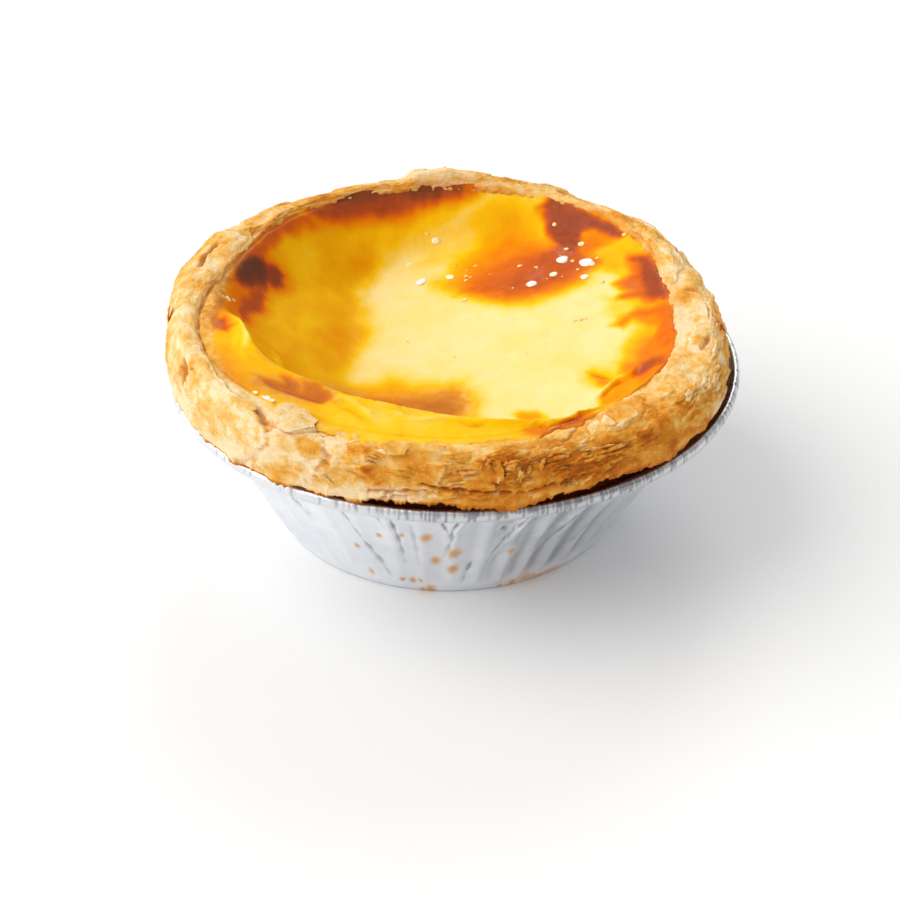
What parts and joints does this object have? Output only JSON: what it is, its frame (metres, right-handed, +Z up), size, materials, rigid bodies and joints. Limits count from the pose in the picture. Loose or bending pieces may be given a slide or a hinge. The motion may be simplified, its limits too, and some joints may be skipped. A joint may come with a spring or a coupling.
{
  "type": "egg tart",
  "caption": "Small baked egg custard tart with a flaky puff pastry rim, a sunken scorched custard and its own pleated foil cup.",
  "frame": {"origin": "on the surface that the tart stands on, under the middle of the foil cup's round rim; it is on the cup's flat base, whose own middle is 0.9 mm to the left of it", "axes": "+Z up through the tart; +X to the right and +Y to the back as the tart is seen from its front, where the cut layers of the pastry show"},
  "size_m": [0.0721, 0.0735, 0.0312],
  "materials": {
    "foil_cup": "thin pleated foil, satin, with a few baked-on drips",
    "pastry_shell": "baked puff pastry, pale cream-gold to golden brown, flaky",
    "custard": "baked egg custard, moist yellow skin scorched brown in patches"
  },
  "bodies": {
    "root": {"foil_cup": "foil_cup", "pastry_shell": "pastry_shell", "custard": "custard"}
  },
  "joints": []
}
